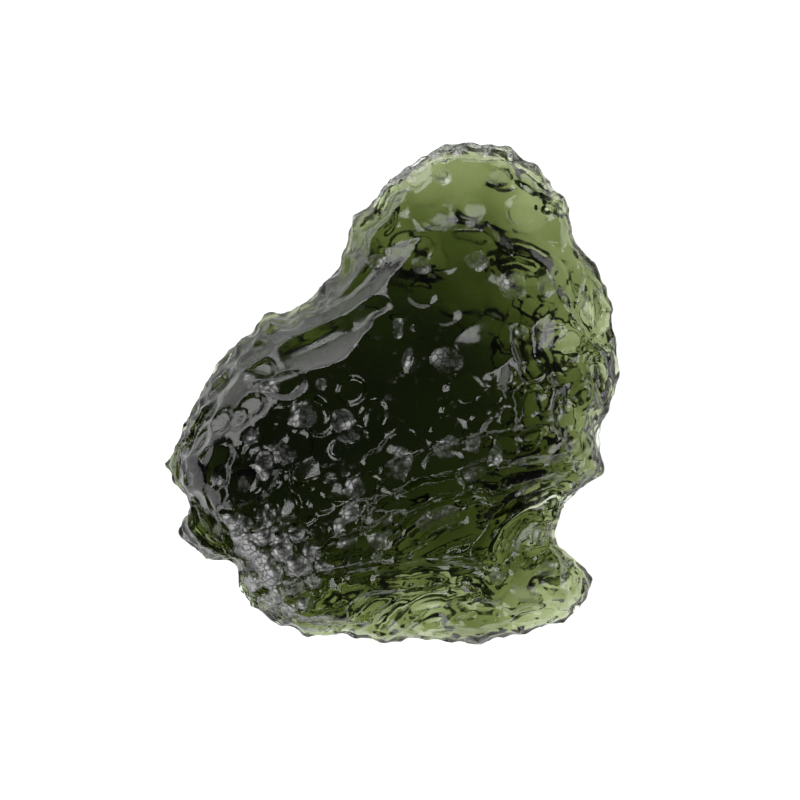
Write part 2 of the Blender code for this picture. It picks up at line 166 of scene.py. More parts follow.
# %% Outline as a reach
def outline_points():
    """The outline as closely spaced points, each edge bowed by its bulge."""
    corners = np.array(OUTLINE)
    points = []
    for here, after in zip(corners, np.roll(corners, -1, axis=0)):
        chord = after[:2] - here[:2]
        outwards = np.array((-chord[1], chord[0])) / np.hypot(*chord)
        for step in np.arange(STEPS_PER_EDGE) / STEPS_PER_EDGE:
            bow = here[2] * 4 * step * (1 - step)
            points.append(here[:2] + chord * step + outwards * bow)
    return np.array(points)


SOFT_OUTLINE_DEG = 14  # the middle of the stone follows the outline smoothed over this angle
EDGE_ALLOWANCE = 0.3  # the blank is this much wider than the outline, and the chips take it off


def outline_reach():
    """How far the outline is from the heart at any angle, as drawn and as smoothed."""
    away = outline_points() - HEART
    angle = np.degrees(np.arctan2(away[:, 1], away[:, 0]))
    order = np.argsort(angle)
    angle, reach = angle[order], np.hypot(*away.T)[order] + EDGE_ALLOWANCE
    whole_turn = np.arange(-180, 180)
    even = np.interp(whole_turn, angle, reach, period=360)
    side = 3 * SOFT_OUTLINE_DEG
    spread = np.exp(-0.5 * (np.arange(-side, side + 1) / SOFT_OUTLINE_DEG) ** 2)
    padded = np.concatenate([even[-side:], even, even[:side]])
    soft = np.convolve(padded, spread / spread.sum(), mode="valid")

    def sharp_at(degrees):
        return np.interp(degrees, angle, reach, period=360)

    def soft_at(degrees):
        return np.interp(degrees, whole_turn, soft, period=360)

    return sharp_at, soft_at


edge = outline_points()
print("outline", (edge.max(axis=0) - edge.min(axis=0)).round(1), "mm")

# %% [markdown]
# ## The body
#
# Before it was etched the stone was a rounded pebble, thick in the belly at the middle left and
# thin in the lobes. A ball is a good start for it: each of its points is pushed out to the
# outline's reach, and the fullness of the profile makes the sides steep and the top flat. Mounds
# are added where the real stone swells. A voxel remesh then gives an even net of small squares,
# because the acid needs points everywhere and a ball has too few at the rim.

# %% Body values
FULLNESS = 3.0  # 2 is an ellipsoid, and more gives a flatter top and steeper sides
RIM_HEIGHT = 3.9
RIM_WAVE = 0.7  # how far the widest line rises and falls on its way round
RIM_WAVE_START = 40  # degrees
TOP_HEIGHT = 6.3  # of the upper side, away from its swells
BOTTOM_HEIGHT = 1.8  # of the lower side, away from its swells
# x, y, half length, half width, turn in degrees, rise
TOP_SWELLS = [
    (-3.2, -2.2, 8.2, 5.6, 35, 4.6),
    (4.0, 6.5, 5.0, 4.0, 70, 1.3),
    (8.4, -2.5, 4.5, 2.6, 10, 1.5),
    (-11.0, -4.5, 5.0, 3.6, 55, 3.0),
    (-7.5, -11.0, 4.4, 3.2, -40, 3.0),
    (8.6, -11.6, 3.2, 2.2, 0, 1.1),
]
BOTTOM_SWELLS = [
    (-1.2, -2.2, 9.0, 8.0, 20, -2.8),
    (-10.5, -5.5, 4.0, 3.0, 50, -0.8),
    (-7.5, -11.0, 3.5, 2.5, -40, -0.8),
]


# %% Body shape
def swell(x, y, mound):
    """The rise of one rounded mound at x, y."""
    cx, cy, half_length, half_width, turn, rise = mound
    c, s = math.cos(math.radians(turn)), math.sin(math.radians(turn))
    along = ((x - cx) * c + (y - cy) * s) / half_length
    across = ((y - cy) * c - (x - cx) * s) / half_width
    return rise * np.exp(-0.5 * (along**2 + across**2))


def rim_height(degrees):
    return RIM_HEIGHT + RIM_WAVE * np.sin(np.radians(2 * degrees + RIM_WAVE_START))


def body_point(direction):
    """Where each unit direction from the heart meets the smooth body."""
    x, y, z = direction.T
    degrees = np.degrees(np.arctan2(y, x))
    share = np.hypot(x, y).clip(0, 1) ** (2 / FULLNESS)
    sharp_at, soft_at = outline_reach()
    soft, sharp = soft_at(degrees), sharp_at(degrees)
    reach = (soft + (sharp - soft) * share**3) * share
    px = HEART[0] + reach * np.cos(np.radians(degrees))
    py = HEART[1] + reach * np.sin(np.radians(degrees))
    rim = rim_height(degrees)
    over = TOP_HEIGHT + sum(swell(px, py, mound) for mound in TOP_SWELLS)
    under = BOTTOM_HEIGHT + sum(swell(px, py, mound) for mound in BOTTOM_SWELLS)
    lift = np.abs(z) ** (2 / FULLNESS)
    return np.column_stack([px, py, rim + (np.where(z > 0, over, under) - rim) * lift])


# %% Blank
BLANK_NET = 0.2
NET_SMOOTHING = 2


def add_net(obj, size):
    net = obj.modifiers.new("even_net", "REMESH")
    net.mode = "VOXEL"
    net.voxel_size = size * MM


def make_blank():
    """The stone before it was etched: a ball pushed out to the body, on an even net."""
    bpy.ops.mesh.primitive_ico_sphere_add(subdivisions=7, radius=1)
    blank = bpy.context.object
    ball = points_of(blank.data) * MM
    move_points(blank.data, body_point(ball / np.linalg.norm(ball, axis=1)[:, None]))
    add_net(blank, BLANK_NET)
    soften = blank.modifiers.new("soften", "SMOOTH")
    soften.iterations = NET_SMOOTHING
    apply_all(blank)
    return blank


stone = make_blank()
print("blank has", len(stone.data.vertices), "points")

# %% [markdown]
# ## How the acid cuts
#
# Acid leaves bowls, and where two bowls meet there is a sharp crest. Booleans with hundreds of
# balls would do it, but they are slow and leave slivers. Here each bowl is a depth at every
# point: deepest at its middle and nought at its rim. Of all the bowls that reach a point the
# deepest wins, which gives the crest for nothing, and the point then sinks straight in, because
# along its normal it could cross its neighbours in a narrow groove. Only the rim chips go along
# the normal, as the wall there stands upright.

# %% Bowls and grooves
STONE_LENGTH = 30.0
GRAZING = 0.6  # a cut fades out where the surface turns this far away from it
SEAT_RADIUS = 0.6  # a hollow faces the way that the surface does within this distance


def bowl(points, normals, centre, facing, radius, depth, stretch, turn, tip=None):
    """How deep a bowl cuts at each point. With a tip it is a pit with steep walls and a level
    floor, tipped along and across by that share of its depth."""
    heading = np.array((math.cos(math.radians(turn)), math.sin(math.radians(turn)), 0.0))
    along_axis = heading - facing * heading.dot(facing)
    along_axis /= np.linalg.norm(along_axis)
    across_axis = np.cross(facing, along_axis)
    away = points - centre
    along = away @ along_axis / (radius * stretch)
    across = away @ across_axis / radius
    fade = (normals @ facing / GRAZING).clip(0, 1)
    hollow = 1 - along**2 - across**2
    if tip:
        hollow = np.minimum(PIT_WALL * hollow, 1 + tip[0] * along + tip[1] * across)
    return depth * hollow * fade


def groove(points, normals, line, left, right, depth):
    """How deep a groove along a line cuts at each point of the upper side."""
    nearest = np.full(len(points), np.inf)
    reach = np.ones(len(points))
    for start, end in zip(line, line[1:]):
        start = np.array(start)
        run = np.array(end) - start
        share = ((points[:, :2] - start) @ run / run.dot(run)).clip(0, 1)
        gap = points[:, :2] - start - share[:, None] * run
        away = np.hypot(*gap.T)
        nearer = away < nearest
        nearest[nearer] = away[nearer]
        on_left = run[0] * gap[:, 1] > run[1] * gap[:, 0]
        reach[nearer] = np.where(on_left, left, right)[nearer]
    fade = (normals[:, 2] / GRAZING).clip(0, 1)
    return depth * (1 - (nearest / reach) ** 2) * fade


def seat(points, normals, x, y, side):
    """The point of the upper or lower side at x, y, and the way it faces there."""
    upright = normals[:, 2] if side == "top" else -normals[:, 2]
    gap = np.hypot(points[:, 0] - x, points[:, 1] - y) + np.where(upright > 0.1, 0, STONE_LENGTH)
    nearest = np.argmin(gap)
    around = np.linalg.norm(points - points[nearest], axis=1) < SEAT_RADIUS
    facing = normals[around].mean(axis=0)
    return points[nearest], facing / np.linalg.norm(facing)


def etch(mesh, side, hollows, grooves=()):
    """Cuts a group of hollows at once. Where two overlap the deeper one wins: that is a crest."""
    points, normals = points_of(mesh), normals_of(mesh)
    cut = np.zeros(len(points))
    for x, y, *shape in hollows:
        cut = np.maximum(cut, bowl(points, normals, *seat(points, normals, x, y, side), *shape))
    for shape in grooves:
        cut = np.maximum(cut, groove(points, normals, *shape))
    points[:, 2] += -cut if side == "top" else cut
    move_points(mesh, points)


# %% [markdown]
# ## Coarse relief
#
# The big forms are placed one by one, as they lie on the real stone: the scalloped edge of the
# crown, the broad smooth hollows of the upper lobe, two flutes that follow the bay, the shelf
# with the ridge below it, the waist, and the long grooves of the lower edge.

# %% Hollows and grooves of the upper side
# Hollows etched one by one into the upper side: x, y, radius, depth, stretch, turn in degrees.
# Neighbours meet in sharp crests.
TOP_HOLLOWS = [
    # the scalloped edge of the crown
    (1.6, 14.0, 1.0, 0.5, 1.2, 30),
    (3.2, 14.5, 0.9, 0.5, 1.2, 0),
    (5.0, 14.6, 1.0, 0.5, 1.2, 0),
    (6.8, 14.3, 0.9, 0.5, 1.2, -10),
    (8.5, 13.1, 0.9, 0.5, 1.6, -45),
    # the broad smooth hollows of the upper lobe
    (3.8, 11.6, 3.1, 0.7, 1.05, 20),
    (3.5, 6.7, 3.5, 1.1, 1.1, 60),
    (7.9, 10.6, 2.4, 0.9, 1.2, -40),
    (7.4, 5.9, 2.3, 1.0, 1.3, -10),
    (5.8, 3.0, 1.7, 0.6, 1.3, 10),
    (0.4, 8.7, 1.7, 0.7, 1.3, 70),
    # the chips at its upper left
    (-0.1, 11.6, 0.9, 0.8, 2.1, 72),
    (-1.6, 10.0, 0.9, 0.6, 1.4, 40),
    (-2.3, 10.6, 0.6, 0.4, 1.2, 0),
    # the right side
    (12.1, 4.8, 1.0, 0.9, 2.2, 95),
    (10.2, 2.6, 2.2, 1.0, 1.2, 60),
    (12.6, 1.0, 0.9, 0.6, 1.6, 90),
    (10.9, -1.2, 1.3, 0.8, 1.5, 80),
    (8.0, 0.6, 1.4, 0.6, 1.4, 70),
    # the shelf below the bay, and the flat chips to its left
    (-4.4, 2.7, 1.7, 1.3, 2.1, 28),
    (-8.3, 2.1, 1.3, 0.8, 1.3, 35),
    (-10.3, 0.4, 1.1, 0.8, 1.4, 55),
    (-11.6, -2.4, 1.1, 0.8, 1.9, 62),
    # the smooth belly
    (-0.2, 2.2, 2.3, 0.8, 1.2, 60),
    (-3.0, -0.7, 2.3, 0.8, 1.3, 30),
    (1.6, -1.2, 2.2, 0.7, 1.4, 10),
    (-5.5, -6.3, 2.4, 1.0, 1.3, 10),
    (-1.6, -4.4, 1.6, 0.5, 1.5, 10),
    # the ledge low down at the lower left
    (-11.2, -8.4, 1.8, 2.0, 1.3, -35),
    # the foot and the wall of the waist above it
    (8.6, -9.0, 1.3, 0.9, 1.2, 60),
    (8.3, -11.7, 1.8, 0.7, 1.5, -5),
    (6.3, -11.6, 0.8, 0.5, 1.3, 60),
    (11.0, -11.3, 0.9, 0.6, 1.4, 70),
    (8.8, -13.4, 0.9, 0.5, 2.2, 14),
]

# Grooves etched along a line: the line, how far the groove reaches to the left and to the right
# of it, and its depth. One with a short reach on one side has a steep wall there.
TOP_GROOVES = [
    # the two long flutes that follow the bay
    ([(-2.6, 10.2), (-2.2, 8.2), (-3.4, 5.9), (-6.5, 4.5)], 0.9, 0.7, 0.8),
    ([(-0.9, 7.4), (-2.3, 5.8), (-3.9, 4.7), (-7.0, 3.7)], 1.1, 0.5, 0.7),
    # the ridge below the shelf, and the crease that runs down the belly from it
    ([(-9.6, 1.6), (-7.2, 0.9), (-4.0, 2.0), (-1.4, 4.0)], 1.8, 0.4, 0.7),
    ([(-4.2, 0.6), (-5.6, -0.6), (-6.1, -2.4)], 0.4, 1.0, 0.4),
    # the channel inside the right rim, and the edge of the hollow beside it
    ([(8.6, 9.4), (10.4, 8.2), (11.0, 6.4)], 0.5, 1.1, 0.7),
    ([(10.6, 8.0), (11.2, 5.0), (12.6, 3.0)], 1.0, 0.4, 0.6),
    ([(7.6, 2.8), (8.4, 0.6), (7.9, -1.2)], 1.5, 0.4, 0.7),
    # the lines of flow across the middle right
    ([(-2.0, -5.0), (1.5, -4.2), (5.5, -3.0), (9.0, -2.6)], 0.5, 1.2, 0.5),
    ([(-1.0, -7.2), (2.0, -5.8), (6.0, -4.8)], 0.5, 1.3, 0.6),
    ([(6.6, -4.9), (8.8, -4.6), (11.4, -4.2)], 0.5, 1.1, 0.6),
    ([(0.2, -9.1), (1.9, -7.9), (3.5, -6.9), (5.4, -6.8)], 0.9, 1.6, 1.3),
    ([(5.8, -6.9), (8.4, -6.0), (10.2, -5.3)], 0.5, 1.4, 0.8),
    ([(-3.6, -9.4), (-1.6, -8.9), (0.4, -7.4)], 0.5, 1.2, 0.7),
    ([(6.2, -9.8), (6.9, -8.4), (8.0, -7.4), (9.6, -6.9)], 1.3, 1.0, 1.5),
    ([(1.6, -9.9), (3.4, -8.7), (5.4, -8.0)], 0.5, 1.4, 0.8),
    # the long grooves of the lower edge
    ([(-5.2, -11.6), (-1.0, -10.9), (2.0, -10.6), (5.4, -10.8)], 0.5, 1.6, 0.8),
    ([(-2.0, -13.4), (-1.1, -12.6), (0.6, -12.5)], 0.6, 0.9, 0.8),
    ([(-0.4, -13.9), (0.6, -13.0), (2.2, -12.4), (4.4, -12.2)], 0.8, 1.4, 1.1),
    ([(2.6, -13.6), (4.4, -13.0), (6.6, -13.2)], 0.5, 1.1, 0.5),
]

# %% Hollows of the underside
BOTTOM_HOLLOWS = [
    (3.5, 11.0, 3.0, 0.3, 1.2, 10),
    (7.8, 8.2, 2.6, 1.0, 1.1, -40),
    (1.2, 7.6, 2.6, 0.9, 1.2, 50),
    (9.6, 3.4, 2.8, 1.1, 1.2, 80),
    (5.0, 4.0, 2.4, 0.8, 1.2, 0),
    (9.8, -2.0, 2.4, 1.0, 1.3, 10),
    (-4.6, 3.6, 2.4, 0.9, 1.5, 35),
    (-9.4, 0.6, 2.4, 0.9, 1.4, 50),
    (-10.4, -5.0, 2.2, 0.9, 1.2, 10),
    (-7.6, -10.4, 2.2, 0.9, 1.3, -40),
    (-3.2, -12.6, 2.2, 0.9, 1.5, 5),
    (2.2, -12.4, 2.3, 1.0, 1.5, 0),
    (7.8, -11.8, 2.4, 1.0, 1.4, -15),
    (8.2, -6.6, 1.8, 0.8, 1.6, 20),
]

# %% [markdown]
# ## Fields of pits and the chipped rim
#
# Between the big forms the pits are packed like the cells of a sponge, each place with its own
# size and lean. They are scattered with a fixed seed, so the stone is the same each time, and
# never closer than a set share of their radii. The rim has rows of chips, a little longer than
# they are wide.

# %% Fields and rows
# Fields of pits: seed, side, centre x and y, half length, half width, turn, how many, least and
# greatest pit radius, depth over radius, stretch, turn of the pits
PIT_FIELDS = [
    (3, "top", -8.8, -3.4, 4.6, 4.0, 60, 26, 0.7, 1.25, 0.42, 1.15, 40),
    (5, "top", -6.6, -10.2, 4.0, 3.2, -40, 34, 0.6, 1.1, 0.5, 1.1, 20),
    (7, "top", 0.6, -5.6, 5.6, 2.8, 16, 20, 0.6, 1.0, 0.4, 1.5, 16),
    (9, "top", 7.3, -1.2, 4.2, 2.2, 10, 16, 0.6, 1.0, 0.42, 1.4, 12),
    (11, "top", -1.6, 0.0, 5.5, 3.4, 40, 5, 0.6, 0.9, 0.36, 1.15, 30),
    (13, "top", 5.0, 8.4, 4.5, 5.0, 0, 6, 0.6, 1.0, 0.2, 1.1, 0),
    (15, "top", 11.6, 0.6, 1.6, 4.4, 0, 14, 0.5, 0.9, 0.45, 1.2, 90),
    (17, "top", 2.0, -12.3, 7.0, 1.8, 5, 8, 0.5, 0.9, 0.3, 1.8, 10),
    (19, "top", 8.5, -11.5, 2.8, 2.0, 0, 8, 0.5, 0.8, 0.3, 1.2, 0),
    (21, "bottom", -4.0, -9.5, 5.5, 5.0, 12, 26, 1.0, 1.6, 0.5, 1.3, 15),
    (23, "bottom", 9.5, 0.5, 3.6, 7.0, 0, 24, 1.0, 1.7, 0.45, 1.2, 80),
    (25, "bottom", -6.0, -1.0, 7.0, 6.0, 40, 28, 1.0, 1.5, 0.45, 1.2, 40),
    (27, "bottom", 4.0, 8.5, 4.6, 5.0, 0, 16, 1.2, 2.0, 0.2, 1.2, 0),
]

# Chips along the rim, in rows: seed, height over the rim, step, radii, depth over radius, stretch
RIM_CHIPS = [
    (41, 0.9, 1.4, 0.8, 1.2, 0.42, 1.2),
    (43, -0.9, 1.6, 0.8, 1.3, 0.42, 1.2),
    (45, 0.0, 1.2, 0.5, 0.8, 0.3, 1.2),
    (47, 2.2, 1.5, 0.8, 1.2, 0.42, 1.1),
    (49, 3.4, 1.6, 0.7, 1.2, 0.42, 1.1),
]


CHIP_REACH = 0.9  # a chip is left out where the wall is further from it than this
CHIP_SPAN = 1.6  # a chip ends this many radii from its middle
PIT_SPACING = 0.62  # least distance between two pits, over the sum of their radii
TRIES_PER_PIT = 30
PIT_WALL = 2.0  # how steep a pit's wall is, where 1 is a plain bowl
MOST_TIP = 0.9  # how far a pit's floor may tip, as a share of its depth


def scattered(seed, cx, cy, half_length, half_width, turn, count, least, most, deep, stretch, lean):
    """The pits of one field, set down at random but never crowded."""
    chance = random.Random(seed)
    c, s = math.cos(math.radians(turn)), math.sin(math.radians(turn))
    pits = []
    for _ in range(count * TRIES_PER_PIT):
        u, v = chance.uniform(-1, 1), chance.uniform(-1, 1)
        radius = chance.uniform(least, most)
        swing = chance.uniform(-20, 20)
        x = cx + u * half_length * c - v * half_width * s
        y = cy + u * half_length * s + v * half_width * c
        clear = all(math.hypot(x - p[0], y - p[1]) > PIT_SPACING * (radius + p[2]) for p in pits)
        if u * u + v * v < 1 and clear and len(pits) < count:
            tip = (chance.uniform(-MOST_TIP, MOST_TIP), chance.uniform(-MOST_TIP, MOST_TIP))
            pits.append((x, y, radius, radius * deep, stretch, lean + swing, tip))
    return pits


def all_pits(fields, wanted):
    """The pits of every field on one side."""
    pits = []
    for seed, side, *field in fields:
        if side == wanted:
            pits += scattered(seed, *field)
    return pits


def chip_row(points, normals, seed, height, step, least, most, deep, stretch):
    """How deep one row of chips cuts, all the way round. It skips where there is no wall."""
    chance = random.Random(seed)
    edge = outline_points()
    run = np.cumsum(np.hypot(*(np.roll(edge, -1, axis=0) - edge).T))
    cut = np.zeros(len(points))
    at = 0.0
    while at < run[-1]:
        x, y = edge[np.searchsorted(run, at)]
        at += step * chance.uniform(0.7, 1.3)
        radius = chance.uniform(least, most)
        swing = chance.uniform(-15, 15)
        rim = rim_height(math.degrees(math.atan2(y - HEART[1], x - HEART[0])))
        gap = np.linalg.norm(points - (x, y, rim + height), axis=1)
        nearest = np.argmin(gap)
        if gap[nearest] > CHIP_REACH:
            continue
        facing = normals[nearest]
        turn = math.degrees(math.atan2(facing[0], -facing[1])) + swing
        centre = points[nearest]
        chip = bowl(points, normals, centre, facing, radius, radius * deep, stretch, turn)
        chip[np.linalg.norm(points - centre, axis=1) > CHIP_SPAN * radius] = 0
        cut = np.maximum(cut, chip)
    return cut


def chip_rim(mesh, rows):
    """Cuts all the rows at once, so that nowhere more than one chip's depth comes off."""
    points, normals = points_of(mesh), normals_of(mesh)
    cut = np.max([chip_row(points, normals, *row) for row in rows], axis=0)
    move_points(mesh, points - normals * cut[:, None])


# %% Cut the coarse relief
etch(stone.data, "top", TOP_HOLLOWS, TOP_GROOVES)
etch(stone.data, "bottom", BOTTOM_HOLLOWS)
chip_rim(stone.data, RIM_CHIPS)
print("coarse relief cut")

# %% [markdown]
# ## A finer net for the finer relief
#
# The deep cuts have pulled the net apart on their walls. A second remesh makes it even again,
# and finer, and one pass of smoothing takes off the steps that it leaves.

# %% Fine net
FINE_NET = 0.14
only(stone)
add_net(stone, FINE_NET)
soften = stone.modifiers.new("soften", "SMOOTH")
soften.iterations = 1
apply_all(stone)
print("fine net has", len(stone.data.vertices), "points")

# %% [markdown]
# ## Fine relief
#
# These pits are the ones that catch the light in the photo, each set down where it is seen there.
# The clear ones are bright glass and the frosted ones have a crackled grey skin. The small ones
# that nobody could place by hand are scattered after them.
#
# Glass shows its far side too. Where light comes up through it there is a deep hollow below, and
# where it stays black a steep furrow throws the light back down. Both could be painted as a colour
# in the glass, but a cut in the underside shifts as real glass does when the stone is turned.
# Neither may take away more than a share of the glass over it, which a ray from each point up to
# the top measures.
#
# The lower left is packed with round nodules. Pits can't give them, as a nodule is what is left
# between crevices. So each point sinks by how far it lies from its nearest nodule.

# %% Pits placed one by one
# x, y, radius, depth, stretch, turn in degrees
CLEAR_PITS = [
    # the crown and the shoulder
    (3.2, 13.0, 0.54, 0.22, 1.1, 0),
    (6.4, 13.2, 0.48, 0.2, 1.3, 0),
    (8.1, 12.0, 0.5, 0.25, 1.8, -42),
    (9.6, 10.9, 0.62, 0.3, 1.1, 0),
    (-0.1, 11.5, 0.4, 0.3, 2.8, 75),
    (-2.4, 10.5, 0.42, 0.25, 1.2, 60),
    (-1.7, 9.8, 0.38, 0.22, 1.2, 30),
    (0.5, 10.6, 0.5, 0.25, 1.6, 70),
    (5.9, 9.0, 0.24, 0.14, 1.0, 0),
    (7.5, 8.2, 0.2, 0.12, 1.0, 0),
    (1.6, 9.2, 0.3, 0.1, 3.0, 3),
    # the right side
    (12.3, 4.7, 0.42, 0.3, 3.0, 93),
    (7.8, 3.6, 0.42, 0.22, 1.2, 90),
    (6.3, 0.5, 0.5, 0.28, 1.4, 0),
    (7.5, 0.4, 0.28, 0.16, 1.5, 0),
    # the foot
    (11.2, -11.2, 0.66, 0.32, 1.4, 75),
]
FROSTED_PITS = [
    # pale clouds in the crown, the right side, the knob and the foot
    (3.2, 12.9, 0.6, 0.2, 1.1, 0),
    (6.6, 12.9, 0.6, 0.2, 1.5, 0),
    (-0.1, 11.3, 0.5, 0.3, 2.0, 72),
    (-0.8, 7.8, 0.5, 0.25, 1.4, 20),
    (5.2, 7.7, 0.7, 0.2, 1.2, 0),
    (1.9, 7.5, 0.6, 0.2, 1.2, 0),
    (7.5, 6.3, 0.9, 0.3, 1.1, 0),
    (9.6, 6.4, 0.7, 0.25, 1.2, 60),
    (11.9, 5.0, 0.4, 0.3, 2.6, 100),
    (7.9, 3.4, 0.45, 0.25, 1.1, 0),
    (10.1, -4.3, 0.3, 0.2, 3.2, 8),
    (8.5, -5.9, 0.3, 0.2, 3.6, 26),
    (7.4, -9.4, 0.5, 0.25, 1.3, 30),
    (9.2, -8.9, 0.6, 0.3, 1.3, 70),
    (6.5, -11.4, 0.5, 0.25, 1.1, 0),
    (9.6, -10.9, 0.5, 0.2, 1.6, 30),
    (8.2, -12.4, 0.6, 0.2, 1.8, -10),
    (10.6, -12.0, 0.4, 0.2, 1.3, 60),
    # the belly
    (3.4, 1.7, 0.9, 0.34, 1.3, 0),
    # the left, pitted
    (-8.6, 0.7, 0.32, 0.2, 1.0, 0),
    (-7.2, 0.2, 0.5, 0.28, 1.5, 0),
    (-5.2, -1.6, 0.95, 0.4, 1.0, 0),
    (-8.3, -2.9, 0.62, 0.3, 1.0, 0),
    (-7.5, -4.6, 0.65, 0.34, 1.6, 90),
    (-6.3, -4.0, 0.78, 0.36, 1.0, 0),
    (-10.2, -5.5, 0.38, 0.22, 1.0, 0),
    (-8.7, -5.7, 0.44, 0.26, 1.4, 90),
    (-4.2, 0.4, 0.38, 0.2, 1.0, 0),
    (-2.9, -1.9, 0.85, 0.34, 1.0, 0),
    (-2.5, -2.9, 0.32, 0.18, 2.4, 0),
    # the middle
    (0.5, 3.7, 0.38, 0.2, 2.0, 90),
    (1.4, 3.7, 0.26, 0.15, 1.0, 0),
    (1.0, 1.9, 0.32, 0.18, 2.4, 80),
    (0.6, -4.3, 0.85, 0.4, 1.3, 90),
    (0.1, -4.6, 0.32, 0.2, 2.4, 80),
    (3.4, -3.4, 0.85, 0.4, 1.1, 0),
    (5.0, -3.2, 0.55, 0.3, 1.25, 90),
    (6.4, -4.1, 0.5, 0.26, 1.8, 75),
    (7.8, -4.4, 0.32, 0.2, 2.0, 10),
    (5.2, -5.0, 0.6, 0.3, 1.5, 15),
    (-2.2, -5.9, 0.75, 0.36, 1.0, 0),
    (-2.3, -7.3, 0.7, 0.34, 1.1, 60),
    (-2.9, -8.1, 0.5, 0.3, 1.25, 0),
    (-0.1, -8.1, 0.32, 0.2, 1.0, 0),
    (-2.6, -9.2, 0.5, 0.3, 1.5, 0),
    (-0.5, -9.0, 0.7, 0.34, 1.2, 0),
    (2.8, -7.8, 0.7, 0.34, 2.2, 20),
]
# Light comes up through the thin glass over these deep hollows of the underside
LIGHT_WELLS = [
    # the crown and the lobe
    (3.2, 12.9, 0.8, 0.7, 1.1, 0),
    (6.6, 12.8, 0.9, 0.7, 1.5, 10),
    (2.2, 11.2, 1.2, 0.5, 1.3, 40),
    (-0.2, 10.8, 0.6, 1.4, 2.0, 72),
    (9.6, 11.0, 0.7, 1.2, 1.1, 0),
    (1.4, 8.7, 1.0, 0.9, 1.6, 12),
    (1.9, 7.1, 0.9, 0.8, 1.1, 0),
    (-0.6, 7.8, 0.6, 0.8, 1.2, 40),
    (5.2, 7.7, 0.8, 0.6, 1.2, 0),
    (7.6, 6.3, 0.9, 1.1, 1.1, 20),
    (9.6, 6.3, 0.8, 1.1, 1.1, 60),
    (8.6, 7.4, 0.6, 0.8, 1.4, 0),
    (11.8, 5.0, 0.7, 1.4, 2.2, 100),
    (10.2, 1.2, 1.2, 1.1, 1.2, 60),
    # the knob and the stripes above the waist
    (10.0, -4.3, 0.6, 1.6, 2.4, 8),
    (8.5, -5.8, 0.7, 1.4, 2.4, 26),
    (5.5, -8.2, 0.5, 1.2, 1.0, 0),
    (7.6, -9.6, 0.8, 1.6, 1.4, 30),
    (9.2, -9.1, 0.8, 1.5, 1.5, 70),
    (6.5, -11.3, 0.7, 1.1, 1.2, 0),
    (9.8, -12.0, 1.0, 0.9, 1.5, -10),
    # the pale stripe along the lower edge, and the cells below it
    (-3.0, -11.8, 0.9, 2.2, 2.4, 8),
    (0.6, -11.4, 0.9, 2.2, 2.4, 6),
    (3.9, -11.1, 0.9, 2.0, 2.0, 4),
    (-3.9, -13.1, 0.6, 1.0, 1.6, 20),
    (-1.0, -13.4, 0.6, 1.0, 1.8, 30),
    (2.6, -13.6, 0.8, 1.0, 2.0, 8),
    (5.2, -13.0, 0.8, 0.9, 1.6, -10),
]
# Steep furrows of the underside, which throw the light back and so look black from above:
# the line of each, and half its width
FURROWS = [
    # round the bright spots of the crown
    ([(7.3, 13.5), (8.6, 12.6), (9.6, 11.9)], 0.4),
    ([(0.3, 11.4), (0.4, 10.1), (-0.2, 9.4)], 0.35),
    ([(-1.8, 9.2), (-1.2, 7.7)], 0.3),
    ([(0.4, 8.8), (0.2, 7.4), (0.5, 6.2)], 0.25),
    # round the cloudy patch of the lobe, and inside the right rim
    ([(6.2, 7.9), (7.5, 8.2), (9.0, 7.7)], 0.4),
    ([(7.0, 4.6), (8.4, 3.8), (9.9, 4.0)], 0.3),
    ([(10.8, 6.4), (11.1, 4.5), (12.1, 3.2)], 0.3),
    ([(6.0, 3.0), (6.6, 1.6), (8.2, 1.2)], 0.3),
    ([(9.2, 2.4), (11.2, 2.0), (12.6, 2.2)], 0.3),
    ([(9.6, -0.6), (11.6, -0.9)], 0.4),
    # the knob and the wedge inside the waist
    ([(7.0, -4.9), (8.6, -5.1), (9.8, -4.9)], 0.3),
    ([(6.2, -9.8), (6.8, -8.4), (8.0, -7.4), (10.0, -6.4)], 1.0),
    ([(5.6, -7.0), (7.4, -6.9)], 0.3),
    # the black crescents of the flow and of the lower edge
    ([(0.0, -9.2), (1.9, -8.0), (3.5, -6.9), (5.6, -6.8)], 0.8),
    ([(-3.4, -10.9), (-1.0, -10.3), (0.6, -10.6), (2.6, -10.0), (5.0, -9.5)], 0.3),
    ([(4.2, -11.4), (5.0, -10.5), (5.6, -9.8)], 0.35),
    ([(-4.6, -11.7), (-3.9, -10.7), (-3.2, -10.0)], 0.3),
    ([(-5.1, -12.7), (-4.6, -12.2), (-3.4, -12.4)], 0.3),
    ([(-3.9, -14.1), (-2.8, -13.3), (-2.0, -13.3)], 0.4),
    ([(-2.2, -13.4), (-1.1, -12.5), (0.5, -12.4)], 0.5),
    ([(-0.5, -13.9), (0.6, -13.0), (2.2, -12.3), (4.4, -12.0), (5.6, -12.3)], 0.7),
    ([(7.6, -13.4), (9.4, -12.9), (11.2, -13.2)], 0.3),
    ([(8.0, -10.6), (9.4, -10.4), (10.6, -10.9)], 0.25),
]
FURROW_SLOPE = 1.7
MOST_OF_THE_GLASS = 0.8  # that the wells and furrows may take away
SKIN = 0.01  # mm, so that a ray doesn't meet the face that it starts from

print(len(CLEAR_PITS + FROSTED_PITS), "pits placed by hand")

